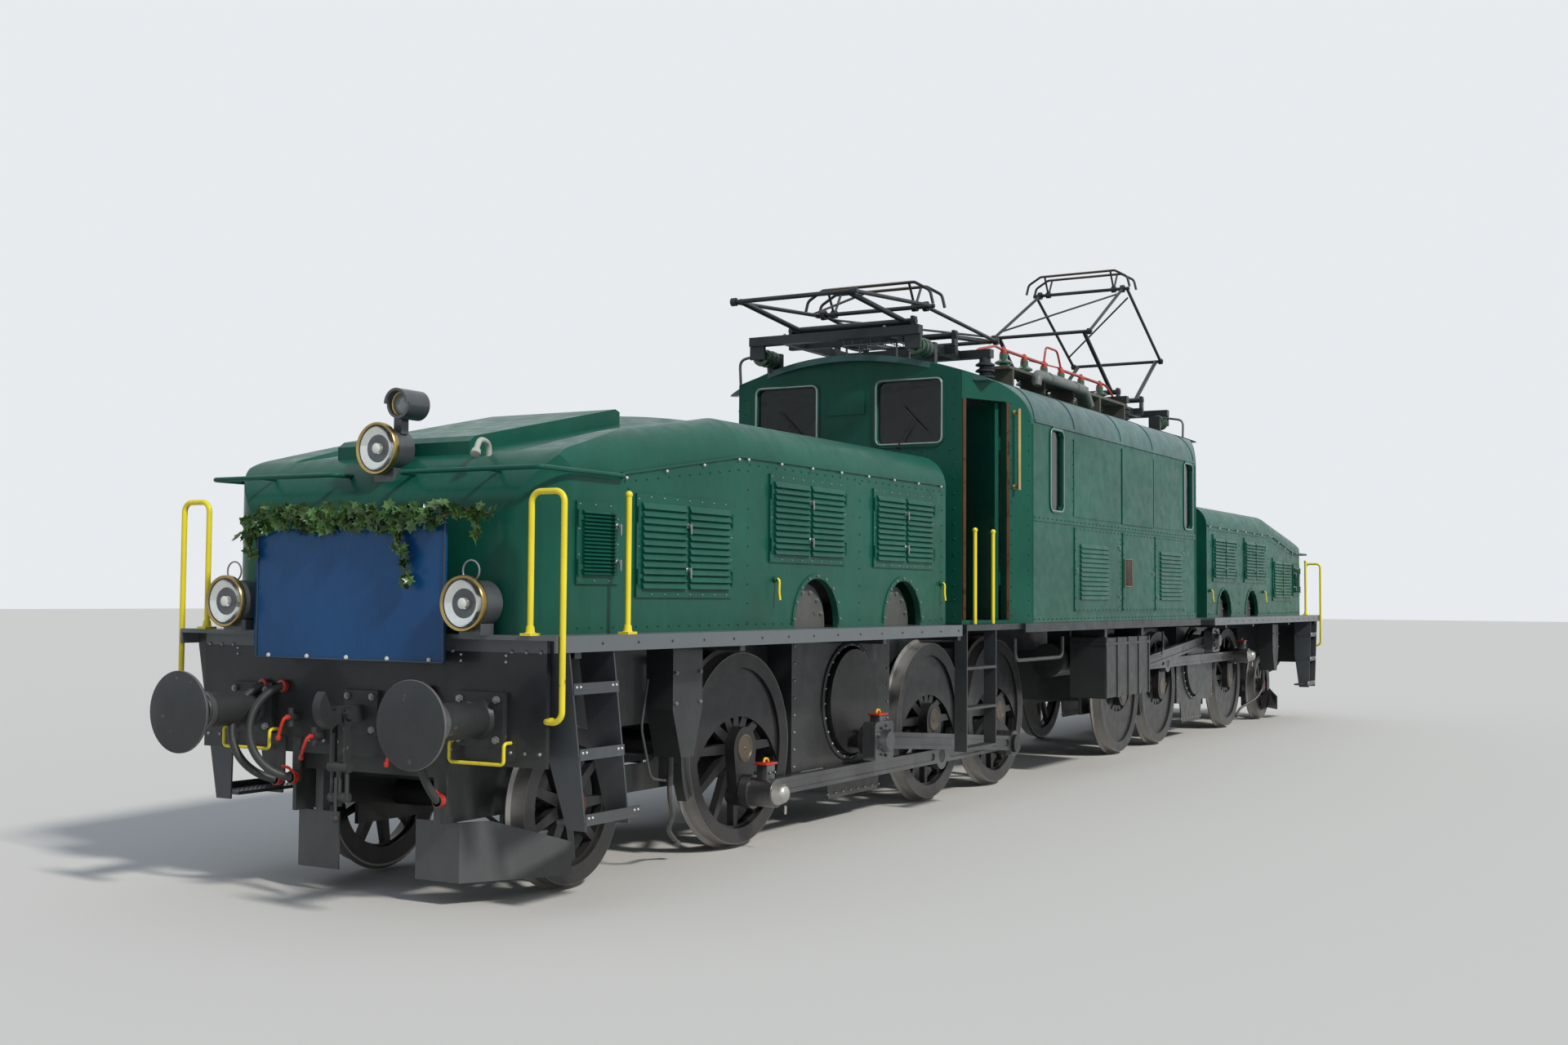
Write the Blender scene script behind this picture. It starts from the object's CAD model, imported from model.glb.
import math

import bmesh
import bpy
from mathutils import Matrix, Vector


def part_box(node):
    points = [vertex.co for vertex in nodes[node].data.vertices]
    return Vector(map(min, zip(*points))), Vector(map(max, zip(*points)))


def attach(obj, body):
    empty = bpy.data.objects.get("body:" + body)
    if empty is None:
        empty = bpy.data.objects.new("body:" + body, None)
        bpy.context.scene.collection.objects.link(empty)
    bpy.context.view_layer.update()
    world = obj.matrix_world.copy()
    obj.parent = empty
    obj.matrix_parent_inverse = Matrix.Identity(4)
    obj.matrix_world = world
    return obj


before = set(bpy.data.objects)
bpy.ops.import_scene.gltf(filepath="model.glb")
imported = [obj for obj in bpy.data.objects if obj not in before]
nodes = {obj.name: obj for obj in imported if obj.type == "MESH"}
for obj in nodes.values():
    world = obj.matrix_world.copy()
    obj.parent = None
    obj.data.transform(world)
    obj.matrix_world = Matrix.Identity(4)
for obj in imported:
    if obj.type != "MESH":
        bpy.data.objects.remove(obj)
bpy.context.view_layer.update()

# Camera: low down, ahead of the board end and off to its near side, with the
# picture's own focal length.
camera_at = Vector((-16.6226, -6.8745, 1.764))
camera_yaw = 0.5167
camera_pitch = 0.0451
camera_roll = 0.0066
focal_px = 2032.4
image_px = 1920.0
film_mm = 36.0

look = Vector((
    math.cos(camera_pitch) * math.cos(camera_yaw),
    math.cos(camera_pitch) * math.sin(camera_yaw),
    math.sin(camera_pitch),
))
side = Vector((math.sin(camera_yaw), -math.cos(camera_yaw), 0.0))
top = side.cross(look)
right = side * math.cos(camera_roll) + top * math.sin(camera_roll)
above = top * math.cos(camera_roll) - side * math.sin(camera_roll)
camera_data = bpy.data.cameras.new("camera")
camera_data.sensor_width = film_mm
camera_data.lens = film_mm * focal_px / image_px
camera_data.clip_end = 200.0
camera = bpy.data.objects.new("camera", camera_data)
bpy.context.scene.collection.objects.link(camera)
turn = Matrix((right, above, -look)).transposed()
camera.matrix_world = Matrix.Translation(camera_at) @ turn.to_4x4()
bpy.context.scene.camera = camera

# Studio: a plain pale floor, an even pale surround and one broad soft sun from
# the locomotive's near side.
sky_color = (0.80, 0.83, 0.86, 1.0)
fill_low = (0.30, 0.29, 0.27, 1.0)
fill_high = (0.75, 0.86, 1.0, 1.0)
fill_strength = 0.62
floor_color = (0.62, 0.61, 0.59, 1.0)
floor_half = 150
sun_from = (-0.24, -0.95, 0.82)
sun_color = (1.0, 0.965, 0.90)
sun_power = 2.6
sun_spread = math.radians(6.0)
bpy.context.scene.view_settings.view_transform = "Standard"

world = bpy.data.worlds.new("surround")
bpy.context.scene.world = world
world.use_nodes = True
tree = world.node_tree
tree.nodes.clear()
path = tree.nodes.new("ShaderNodeLightPath")
glint = tree.nodes.new("ShaderNodeMath")
glint.operation = "MAXIMUM"
tree.links.new(path.outputs["Is Glossy Ray"], glint.inputs[0])
tree.links.new(path.outputs["Is Transmission Ray"], glint.inputs[1])
seen = tree.nodes.new("ShaderNodeMath")
seen.operation = "MAXIMUM"
tree.links.new(path.outputs["Is Camera Ray"], seen.inputs[0])
tree.links.new(glint.outputs[0], seen.inputs[1])
shown = tree.nodes.new("ShaderNodeBackground")
shown.inputs["Color"].default_value = sky_color
place = tree.nodes.new("ShaderNodeTexCoord")
split = tree.nodes.new("ShaderNodeSeparateXYZ")
tree.links.new(place.outputs["Generated"], split.inputs[0])
ramp = tree.nodes.new("ShaderNodeValToRGB")
ramp.color_ramp.elements[0].color = fill_low
ramp.color_ramp.elements[1].position = 0.9
ramp.color_ramp.elements[1].color = fill_high
tree.links.new(split.outputs["Z"], ramp.inputs[0])
fill = tree.nodes.new("ShaderNodeBackground")
fill.inputs["Strength"].default_value = fill_strength
tree.links.new(ramp.outputs[0], fill.inputs["Color"])
either = tree.nodes.new("ShaderNodeMixShader")
tree.links.new(seen.outputs[0], either.inputs[0])
tree.links.new(fill.outputs[0], either.inputs[1])
tree.links.new(shown.outputs[0], either.inputs[2])
result = tree.nodes.new("ShaderNodeOutputWorld")
tree.links.new(either.outputs[0], result.inputs["Surface"])

sun_data = bpy.data.lights.new("sun", "SUN")
sun_data.energy = sun_power
sun_data.angle = sun_spread
sun_data.color = sun_color
sun = bpy.data.objects.new("sun", sun_data)
bpy.context.scene.collection.objects.link(sun)
sun.rotation_euler = Vector(sun_from).to_track_quat("Z", "Y").to_euler()

floor_mesh = bpy.data.meshes.new("floor")
corners = [(x * floor_half, y * floor_half, 0) for x, y in ((-1, -1), (1, -1), (1, 1), (-1, 1))]
floor_mesh.from_pydata(corners, [], [(0, 1, 2, 3)])
floor = bpy.data.objects.new("floor", floor_mesh)
bpy.context.scene.collection.objects.link(floor)
floor_paint = bpy.data.materials.new("floor")
floor_paint.use_nodes = True
floor_shader = floor_paint.node_tree.nodes["Principled BSDF"]
floor_shader.inputs["Base Color"].default_value = floor_color
floor_shader.inputs["Roughness"].default_value = 0.9
floor_mesh.materials.append(floor_paint)

# Bogie frames and deck: riveted steel plates between the wheels under a steel
# deck, in dark grey paint with oil and road dust. The deck's edge plate is
# painted a paler grey, and the frame bolts to it from below.
dust_color = (0.13, 0.12, 0.105)


def finish(name, color, rough, metal=0.0, coat=0.0, dust=0.0, dust_low=0.2, dust_high=1.6,
           vary=0.25, wave=0.0, grain=0.0, wear=None, wear_share=0.0, scale=1.0,
           above=None, beyond=None, ring=None, shine=0.35):
    """Painted or bare metal: colour drift, rough patches, dust by height, wear spots.

    above is a height and the colour over it, beyond a distance from the middle plane
    and the colour outside it, ring an axle's x, height, radius and tread colour.
    """
    material = bpy.data.materials.new(name)
    material.use_nodes = True
    nt = material.node_tree
    shader = nt.nodes["Principled BSDF"]
    shader.inputs["Metallic"].default_value = metal
    shader.inputs["Coat Weight"].default_value = coat
    shader.inputs["Specular IOR Level"].default_value = shine
    shader.inputs["Coat Roughness"].default_value = 0.08
    where = nt.nodes.new("ShaderNodeTexCoord")

    def noise(size, detail=4.0, stretch=(1, 1, 1)):
        place = nt.nodes.new("ShaderNodeMapping")
        place.inputs["Scale"].default_value = stretch
        nt.links.new(where.outputs["Object"], place.inputs[0])
        n = nt.nodes.new("ShaderNodeTexNoise")
        n.inputs["Scale"].default_value = size * scale
        n.inputs["Detail"].default_value = detail
        nt.links.new(place.outputs[0], n.inputs["Vector"])
        return n.outputs["Fac"]

    def remap(value, a, b, c, d):
        m = nt.nodes.new("ShaderNodeMapRange")
        nt.links.new(value, m.inputs["Value"])
        for socket, number in zip(("From Min", "From Max", "To Min", "To Max"), (a, b, c, d)):
            m.inputs[socket].default_value = number
        return m.outputs[0]

    def mix(factor, a, b, kind="MIX"):
        m = nt.nodes.new("ShaderNodeMix")
        m.data_type = "RGBA"
        m.blend_type = kind
        nt.links.new(factor, m.inputs["Factor"])
        for socket, value in ((m.inputs[6], a), (m.inputs[7], b)):
            if hasattr(value, "is_output"):
                nt.links.new(value, socket)
            else:
                socket.default_value = (*value, 1.0)
        return m.outputs[2]

    def maths(kind, a, b):
        m = nt.nodes.new("ShaderNodeMath")
        m.operation = kind
        for socket, value in zip(m.inputs, (a, b)):
            if hasattr(value, "is_output"):
                nt.links.new(value, socket)
            else:
                socket.default_value = value
        return m.outputs[0]

    parts = nt.nodes.new("ShaderNodeSeparateXYZ")
    nt.links.new(where.outputs["Object"], parts.inputs[0])
    dark = tuple(c * (1 - vary) for c in color)
    light = tuple(min(1.0, c * (1 + vary)) for c in color)
    broad = noise(1.3, 3.0)
    tone = mix(remap(broad, 0.3, 0.7, 0.0, 1.0), dark, light)
    fine = noise(26.0, 5.0, (1, 1, 0.25))
    tone = mix(remap(fine, 0.35, 0.75, 0.0, 0.25), tone, tuple(c * 0.55 for c in color))
    rough_now = remap(noise(9.0, 4.0), 0.3, 0.7, max(0.03, rough - 0.07), min(1.0, rough + 0.09))
    if wear is not None:
        spots = noise(15.0, 8.0)
        edge = 1 - wear_share
        tone = mix(remap(spots, edge - 0.02, edge + 0.02, 0.0, 0.9), tone, wear)
    if above is not None:
        tone = mix(maths("GREATER_THAN", parts.outputs["Z"], above[0]), tone, above[1])
    if beyond is not None:
        off = maths("ABSOLUTE", parts.outputs["Y"], 0.0)
        tone = mix(maths("GREATER_THAN", off, beyond[0]), tone, beyond[1])
    if ring is not None:
        x, z, radius, rolled = ring
        dx = maths("SUBTRACT", parts.outputs["X"], x)
        dz = maths("SUBTRACT", parts.outputs["Z"], z)
        squares = maths("ADD", maths("MULTIPLY", dx, dx), maths("MULTIPLY", dz, dz))
        away = maths("SQRT", squares, 0.0)
        tone = mix(remap(away, radius - 0.004, radius + 0.004, 0.0, 1.0), tone, rolled)
    if dust > 0:
        low = remap(parts.outputs["Z"], dust_low, dust_high, 1.0, 0.0)
        patches = remap(noise(5.0, 6.0), 0.25, 0.75, dust * 0.4, dust)
        tone = mix(maths("MULTIPLY", low, patches), tone, dust_color)
    nt.links.new(tone, shader.inputs["Base Color"])
    nt.links.new(rough_now, shader.inputs["Roughness"])
    if wave or grain:
        bump = nt.nodes.new("ShaderNodeBump")
        bump.inputs["Strength"].default_value = 1.0
        bump.inputs["Distance"].default_value = 1.0
        swell = remap(noise(2.2, 2.0), 0.0, 1.0, 0.0, wave)
        pits = remap(noise(120.0, 3.0), 0.0, 1.0, 0.0, grain)
        nt.links.new(maths("ADD", swell, pits), bump.inputs["Height"])
        nt.links.new(bump.outputs[0], shader.inputs["Normal"])
    return material


def dress(material, *names):
    """Give CAD nodes a finish."""
    for name in names:
        node = nodes[name]
        node.data.materials.clear()
        node.data.materials.append(material)


ends = ("front", "rear")
half_turn = Matrix.Rotation(math.pi, 4, "Z")
deck_edge = (0.115, 0.130, 0.140)
deck_edge_z = 1.452
frame_paint = finish("frame_paint", (0.022, 0.027, 0.030), 0.42, coat=0.1, dust=0.40,
                     dust_low=0.0, dust_high=1.5, vary=0.3, grain=0.0006)
deck_paint = finish("deck_paint", (0.020, 0.025, 0.028), 0.40, coat=0.15, dust=0.4,
                    dust_low=0.0, dust_high=1.3, vary=0.3, grain=0.0006,
                    above=(deck_edge_z, deck_edge))
dress(deck_paint, "front_bogie_frame", "rear_bogie_frame")
crease = math.radians(38)


def piece(name, mesh, material, body):
    """Put a finished mesh into the scene as a piece that rides on a body."""
    mesh.name = name
    mesh.materials.clear()
    mesh.materials.append(material)
    mesh.polygons.foreach_set("use_smooth", [True] * len(mesh.polygons))
    mesh.set_sharp_from_angle(angle=crease)
    thing = bpy.data.objects.new(name, mesh)
    bpy.context.scene.collection.objects.link(thing)
    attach(thing, body)


def at_both_ends(name, mesh, material, part="bogie"):
    """The front piece and the same piece turned half a turn for the rear."""
    other = mesh.copy()
    other.transform(half_turn)
    piece(f"front_{name}", mesh, material, f"front_{part}")
    piece(f"rear_{name}", other, material, f"rear_{part}")


def fastener_tree(name, nut):
    """Node tree that sets rivets or nuts at even spacing along edges."""
    rows = bpy.data.node_groups.new(name, "GeometryNodeTree")
    face = rows.interface
    face.new_socket("Geometry", in_out="INPUT", socket_type="NodeSocketGeometry")
    for label in ("Spacing", "Radius", "Height"):
        face.new_socket(label, in_out="INPUT", socket_type="NodeSocketFloat")
    face.new_socket("Facing", in_out="INPUT", socket_type="NodeSocketVector")
    face.new_socket("Metal", in_out="INPUT", socket_type="NodeSocketMaterial")
    face.new_socket("Geometry", in_out="OUTPUT", socket_type="NodeSocketGeometry")
    add, link = rows.nodes.new, rows.links.new
    given = add("NodeGroupInput")
    out = add("NodeGroupOutput")
    line = add("GeometryNodeMeshToCurve")
    even = add("GeometryNodeResampleCurve")
    even.mode = "LENGTH"
    placed = add("GeometryNodeInstanceOnPoints")
    real = add("GeometryNodeRealizeInstances")
    paint = add("GeometryNodeSetMaterial")
    link(given.outputs["Geometry"], line.inputs[0])
    link(line.outputs[0], even.inputs["Curve"])
    link(given.outputs["Spacing"], even.inputs["Length"])
    link(even.outputs[0], placed.inputs["Points"])
    if nut:
        flats = add("GeometryNodeMeshCylinder")
        flats.inputs["Vertices"].default_value = 6
        tip = add("GeometryNodeMeshCylinder")
        tip.inputs["Vertices"].default_value = 8
        for shape, wide, tall in ((flats, 1.0, 1.0), (tip, 0.55, 1.8)):
            for factor, label, socket in ((wide, "Radius", "Radius"), (tall, "Height", "Depth")):
                scaled = add("ShaderNodeMath")
                scaled.operation = "MULTIPLY"
                link(given.outputs[label], scaled.inputs[0])
                scaled.inputs[1].default_value = factor
                link(scaled.outputs[0], shape.inputs[socket])
        both = add("GeometryNodeJoinGeometry")
        link(flats.outputs["Mesh"], both.inputs[0])
        link(tip.outputs["Mesh"], both.inputs[0])
        head = both.outputs[0]
    else:
        dome = add("GeometryNodeMeshUVSphere")
        dome.inputs["Segments"].default_value = 8
        dome.inputs["Rings"].default_value = 5
        link(given.outputs["Radius"], dome.inputs["Radius"])
        head = dome.outputs["Mesh"]
    turn = add("FunctionNodeEulerToRotation")
    link(given.outputs["Facing"], turn.inputs[0])
    link(turn.outputs[0], placed.inputs["Rotation"])
    link(head, placed.inputs["Instance"])
    link(placed.outputs[0], real.inputs[0])
    link(real.outputs[0], paint.inputs["Geometry"])
    link(given.outputs["Metal"], paint.inputs["Material"])
    link(paint.outputs[0], out.inputs[0])
    return rows


rivet_rows = fastener_tree("rivet_rows", False)
nut_rows = fastener_tree("nut_rows", True)
facing_side = (math.pi / 2, 0.0, 0.0)
facing_end = (0.0, math.pi / 2, 0.0)


def grown(tree, points, edges, values):
    """Mesh that a node tree sets along lines between points."""
    mesh = bpy.data.meshes.new("lines")
    mesh.from_pydata([tuple(p) for p in points], edges, [])
    thing = bpy.data.objects.new("lines", mesh)
    bpy.context.scene.collection.objects.link(thing)
    modifier = thing.modifiers.new("lines", "NODES")
    modifier.node_group = tree
    for item in tree.interface.items_tree:
        if item.in_out == "INPUT" and item.name in values:
            modifier[item.identifier] = values[item.name]
    shaped = thing.evaluated_get(bpy.context.evaluated_depsgraph_get())
    made = bpy.data.meshes.new_from_object(shaped)
    bpy.data.objects.remove(thing)
    return made


def fasteners(tree, rows, spacing, radius, material, height=0.0, facing=facing_side):
    """Mesh of rivets or nuts along rows of points."""
    points, edges = [], []
    for row in rows:
        first = len(points)
        points += row
        edges += [(k, k + 1) for k in range(first, len(points) - 1)]
    return grown(tree, points, edges, {"Spacing": spacing, "Radius": radius, "Height": height,
                                       "Facing": facing, "Metal": material})


def bolt_on(name, tree, rows, spacing, radius, material, height=0.0, facing=facing_side):
    """Rivets or nuts along rows of points on both bogies."""
    made = fasteners(tree, rows, spacing, radius, material, height, facing)
    at_both_ends(name, made, material)


bolt_steel = finish("bolt_steel", (0.30, 0.31, 0.31), 0.35, metal=0.5, vary=0.15)
beam_x, beam_gaps = -9.431, ((-1.28, -1.08), (-0.66, -0.2), (0.2, 0.66), (1.08, 1.28))
rows = [[(beam_x, y0, z), (beam_x, y1, z)] for z in (0.905, 1.455) for y0, y1 in beam_gaps]
bolt_on("beam_rivets", rivet_rows, rows, 0.095, 0.012, bolt_steel)
rows = [[(-9.10, y, 1.503), (-4.2, y, 1.503)] for y in (-1.450, 1.450)]
bolt_on("deck_rivets", rivet_rows, rows, 0.35, 0.008, frame_paint)

# Wheelsets: cast spoked wheels on forged axles with shrunk-on tyres, oily dark
# grey, their treads rolled bright. The carrying wheels' hubs are red brown.
tread = (0.34, 0.33, 0.32)
carry_z, drive_z = 0.503, 0.703
axle_table = (
    ("carrying_wheels", 8.50, carry_z, 0.470), ("drive_wheels_1", 6.55, drive_z, 0.668),
    ("drive_wheels_2", 3.35, drive_z, 0.668), ("drive_wheels_3", 1.85, drive_z, 0.668),
)
for end, way in zip(ends, (-1, 1)):
    for name, x, z, radius in axle_table:
        dress(finish(f"{end}_{name}", (0.034, 0.034, 0.037), 0.34, metal=0.45, dust=0.30,
                     dust_low=0.0, dust_high=0.8, vary=0.3, grain=0.0008,
                     ring=(way * x, z, radius, tread)),
              f"{end}_{name}")
    dress(finish(f"{end}_crank_steel", (0.060, 0.060, 0.062), 0.34, metal=0.6, vary=0.3,
                 grain=0.0006),
          f"{end}_jackshaft")
hub_cap = finish("hub_cap", (0.13, 0.105, 0.075), 0.35, metal=0.6, vary=0.3)
carry_cap = finish("carry_cap", (0.10, 0.035, 0.022), 0.5, metal=0.2, vary=0.3)


def lathe(bm, profile, at, axis, steps):
    """Turned shape: pairs of distance along the axis and radius, about an axis."""
    axis = Vector(axis).normalized()
    across = axis.orthogonal().normalized()
    up = axis.cross(across)
    rings = []
    for along, radius in profile:
        centre = Vector(at) + axis * along
        if radius < 1e-6:
            rings.append([bm.verts.new(centre)])
            continue
        angles = [2 * math.pi * k / steps for k in range(steps)]
        rings.append([bm.verts.new(centre + (across * math.cos(a) + up * math.sin(a)) * radius)
                      for a in angles])
    for a, b in zip(rings, rings[1:]):
        for k in range(steps):
            n = (k + 1) % steps
            corners = (a if len(a) == 1 else [a[k], a[n]]) + (b if len(b) == 1 else [b[n], b[k]])
            if len(corners) > 2:
                bm.faces.new(corners)
    for ring in (rings[0], rings[-1]):
        if len(ring) > 1 and profile[0] != profile[-1]:
            bm.faces.new(ring)


def forge(bm):
    """Mesh of a bmesh with merged points and faces pointing outwards."""
    bmesh.ops.remove_doubles(bm, verts=bm.verts, dist=1e-5)
    bmesh.ops.recalc_face_normals(bm, faces=bm.faces)
    mesh = bpy.data.meshes.new("mesh")
    bm.to_mesh(mesh)
    bm.free()
    return mesh


hub_ring = ((-0.004, 0.098), (0.010, 0.098), (0.016, 0.090), (0.016, 0.064), (0.010, 0.058),
            (0.010, 0.020), (0.022, 0.012), (0.022, 0.0))
axle_end = ((-0.004, 0.100), (0.003, 0.100), (0.0055, 0.096), (0.0055, 0.080), (0.002, 0.076),
            (0.002, 0.014), (0.0055, 0.010), (0.0055, 0.0))
for name, x, z, radius in axle_table:
    carrying = name == "carrying_wheels"
    profile, face_y = (hub_ring, 0.827) if carrying else (axle_end, 0.850)
    bm = bmesh.new()
    for side in (-1, 1):
        lathe(bm, profile, (-x, side * face_y, z), (0, side, 0), 28)
    if carrying:
        at_both_ends("carrying_hub_rings", forge(bm), carry_cap, "carrying_axle")
    else:
        number = name[-1]
        at_both_ends(f"axle_ends_{number}", forge(bm), hub_cap,
                     f"drive_axle_{number}")

# Rods: milled steel bars with flutes, oiled and rubbed bright on their edges. A
# housing with an oil box and a red lid closes each leading bearing.
couple_steel = finish("couple_steel", (0.15, 0.15, 0.155), 0.30, metal=0.8, vary=0.3,
                      grain=0.0004, beyond=(1.111, (0.55, 0.54, 0.50)))
main_steel = finish("main_steel", (0.13, 0.135, 0.14), 0.32, metal=0.75, vary=0.3, grain=0.0004)
lid_red = finish("lid_red", (0.50, 0.03, 0.015), 0.40, coat=0.3, vary=0.15)
latch_yellow = finish("latch_yellow", (0.80, 0.45, 0.03), 0.40, coat=0.2, vary=0.15)
bright_steel = finish("bright_steel", (0.52, 0.51, 0.49), 0.28, metal=0.9, vary=0.12)
crank = 0.3
lead_x, jack_x, jack_z = -6.55, -4.86, 0.948
# How far each pin stands from its axle, lengthwise and up, -Y side first.
pins = {"front": ((0.0, -crank), (-crank, 0.0)), "rear": ((-crank, 0.0), (0.0, crank))}
box_half, lid_half, cap_ring = 0.045, 0.052, 0.118


def tube(bm, points, radius, sides):
    """Round bar along points."""
    points = [Vector(p) for p in points]
    up = None
    rings = []
    for i, p in enumerate(points):
        way = Vector()
        if i > 0:
            way += (p - points[i - 1]).normalized()
        if i < len(points) - 1:
            way += (points[i + 1] - p).normalized()
        way.normalize()
        up = way.orthogonal() if up is None else up - way * up.dot(way)
        up.normalize()
        beside = way.cross(up)
        rings.append([bm.verts.new(p + (up * math.cos(a) + beside * math.sin(a)) * radius)
                      for a in (2 * math.pi * k / sides for k in range(sides))])
    for a, b in zip(rings, rings[1:]):
        for k in range(sides):
            n = (k + 1) % sides
            bm.faces.new((a[k], a[n], b[n], b[k]))
    bm.faces.new(rings[0])
    bm.faces.new(rings[-1])


def bent(points, reach, steps=6):
    """Points of a bar with its corners bent round over a length on each side."""
    points = [Vector(p) for p in points]
    path = [points[0]]
    for a, b, c in zip(points, points[1:], points[2:]):
        start = b + (a - b).normalized() * min(reach, (a - b).length * 0.5)
        stop = b + (c - b).normalized() * min(reach, (c - b).length * 0.5)
        for k in range(steps + 1):
            t = k / steps
            path.append(start * (1 - t) ** 2 + b * 2 * t * (1 - t) + stop * t ** 2)
    return path + [points[-1]]


def block(bm, low, high, bevel):
    """Squared piece between two corners, with its edges broken."""
    low, high = Vector(low), Vector(high)
    made = bmesh.ops.create_cube(bm, size=1.0)["verts"]
    bmesh.ops.scale(bm, vec=high - low, verts=made)
    bmesh.ops.translate(bm, vec=(low + high) / 2, verts=made)
    edges = list(dict.fromkeys(e for v in made for e in v.link_edges))
    bmesh.ops.bevel(bm, geom=edges, offset=bevel, segments=2, profile=0.5, affect="EDGES")


def circle(at, radius, axis, count):
    """Closed ring of points in the plane across an axis, x or y."""
    ring = []
    for k in range(count + 1):
        a = 2 * math.pi * k / count
        c, s = radius * math.cos(a), radius * math.sin(a)
        ring.append(Vector(at) + (Vector((0, c, s)) if axis == "x" else Vector((c, 0, s))))
    return ring


def rod_piece(end, name, mesh, material, body):
    """A piece made for the front bogie and turned round where it is for the rear."""
    if end == "rear":
        mesh.transform(half_turn)
    piece(name, mesh, material, body)


for end in ends:
    for side, (dx, dz) in zip((-1, 1), pins[end]):
        hand = "right" if (side < 0) == (end == "front") else "left"
        dress(couple_steel, f"{end}_coupling_rod_{hand}")
        dress(main_steel, f"{end}_main_rod_{hand}")
        for kind, x, z, y, rise in (
            ("coupling", lead_x + dx, drive_z + dz, side * 1.018, 0.120),
            ("main", jack_x + dx, jack_z + dz, side * 1.052, 0.122),
        ):
            body = f"{end}_{kind}_rod_{hand}"
            foot = z + rise
            bm = bmesh.new()
            block(bm, (x - 0.055, y - box_half, foot - 0.035),
                  (x + 0.055, y + box_half, foot + 0.075), 0.008)
            for bolt_x in (-0.035, 0.035):
                lathe(bm, ((0.0, 0.009), (0.014, 0.009), (0.018, 0.005), (0.018, 0.0)),
                      (x + bolt_x, y + side * box_half, foot + 0.02), (0, side, 0), 8)
            rod_piece(end, f"{end}_{kind}_oil_box_{hand}", forge(bm), main_steel, body)
            bm = bmesh.new()
            block(bm, (x - 0.078, y - lid_half, foot + 0.075),
                  (x + 0.078, y + lid_half, foot + 0.091), 0.004)
            rod_piece(end, f"{end}_{kind}_lid_{hand}", forge(bm), lid_red, body)
            bm = bmesh.new()
            tube(bm, bent([(x - 0.030, y, foot + 0.092), (x - 0.018, y, foot + 0.118),
                           (x + 0.022, y, foot + 0.114), (x + 0.034, y, foot + 0.094)], 0.012, 3),
                 0.009, 8)
            rod_piece(end, f"{end}_{kind}_lid_spring_{hand}", forge(bm), latch_yellow,
                      body)
            if kind == "main":
                ring = circle((x, side * 1.110, z), cap_ring, "y", 36)
                nuts = fasteners(nut_rows, [ring], 2 * math.pi * cap_ring / 10, 0.014, main_steel,
                                 0.020)
                rod_piece(end, f"{end}_main_cap_nuts_{hand}", nuts, main_steel, body)
            else:
                bm = bmesh.new()
                lathe(bm, ((0.0, 0.064), (0.012, 0.060), (0.024, 0.046), (0.032, 0.024),
                           (0.034, 0.0)), (x, side * 1.164, z), (0, side, 0), 24)
                lathe(bm, ((-0.02, 0.010), (0.036, 0.010), (0.040, 0.006), (0.040, 0.0)),
                      (x + 0.03, side * 1.160, z - 0.105), (0, 0, -1), 8)
                rod_piece(end, f"{end}_coupling_cap_{hand}", forge(bm), bright_steel,
                          body)

# Jackshaft case and sand gear: flat plates bolted round the jackshaft, with a
# flanged ring about its cranks, and sand pipes that end ahead of the leading
# driving wheels, bent from thin pipe and clipped to the frame.
case_y = 0.800
rows = []
for side in (-1, 1):
    y = side * case_y
    rows += [[(-5.76, y, 0.50), (-5.76, y, 1.40)], [(-4.18, y, 0.50), (-4.18, y, 1.18)],
             [(-5.22, y, 0.245), (-4.34, y, 0.245)],
             circle((jack_x, side * (case_y + 0.013), jack_z), 0.446, "y", 64)]
bolt_on("case_bolts", rivet_rows, rows, 0.115, 0.012, bolt_steel)
bm = bmesh.new()
for side in (-1, 1):
    lathe(bm, ((-0.006, 0.470), (0.010, 0.470), (0.014, 0.464), (0.014, 0.438), (0.008, 0.434),
               (-0.006, 0.434), (-0.006, 0.470)), (jack_x, side * case_y, jack_z), (0, side, 0), 64)
at_both_ends("case_rings", forge(bm), frame_paint)
pipe_grey = finish("pipe_grey", (0.10, 0.105, 0.11), 0.45, metal=0.3, dust=0.4, dust_high=1.0)
bm = bmesh.new()
for side in (-1, 1):
    tube(bm, bent([(-7.75, side * 1.010, 0.60), (-7.75, side * 1.010, 0.50),
                   (-7.62, side * 0.95, 0.36), (-7.40, side * 0.77, 0.22),
                   (-7.27, side * 0.748, 0.13)], 0.06), 0.017, 10)
    lathe(bm, ((0.0, 0.022), (0.05, 0.024), (0.055, 0.018)),
          (-7.29, side * 0.748, 0.137), (0.9, 0, -0.5), 12)
    tube(bm, bent([(-8.02, side * 1.02, 1.25), (-8.06, side * 1.00, 0.95),
                   (-7.92, side * 0.98, 0.62), (-7.79, side * 1.005, 0.60)], 0.05), 0.008, 8)
at_both_ends("sand_pipes", forge(bm), pipe_grey)
rows = [[(x, side * 1.181, 1.10), (x, side * 1.181, 1.48)]
        for side in (-1, 1) for x in (-7.95, -7.67)]
bolt_on("sand_box_bolts", nut_rows, rows, 0.17, 0.013, bolt_steel, height=0.018)

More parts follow.
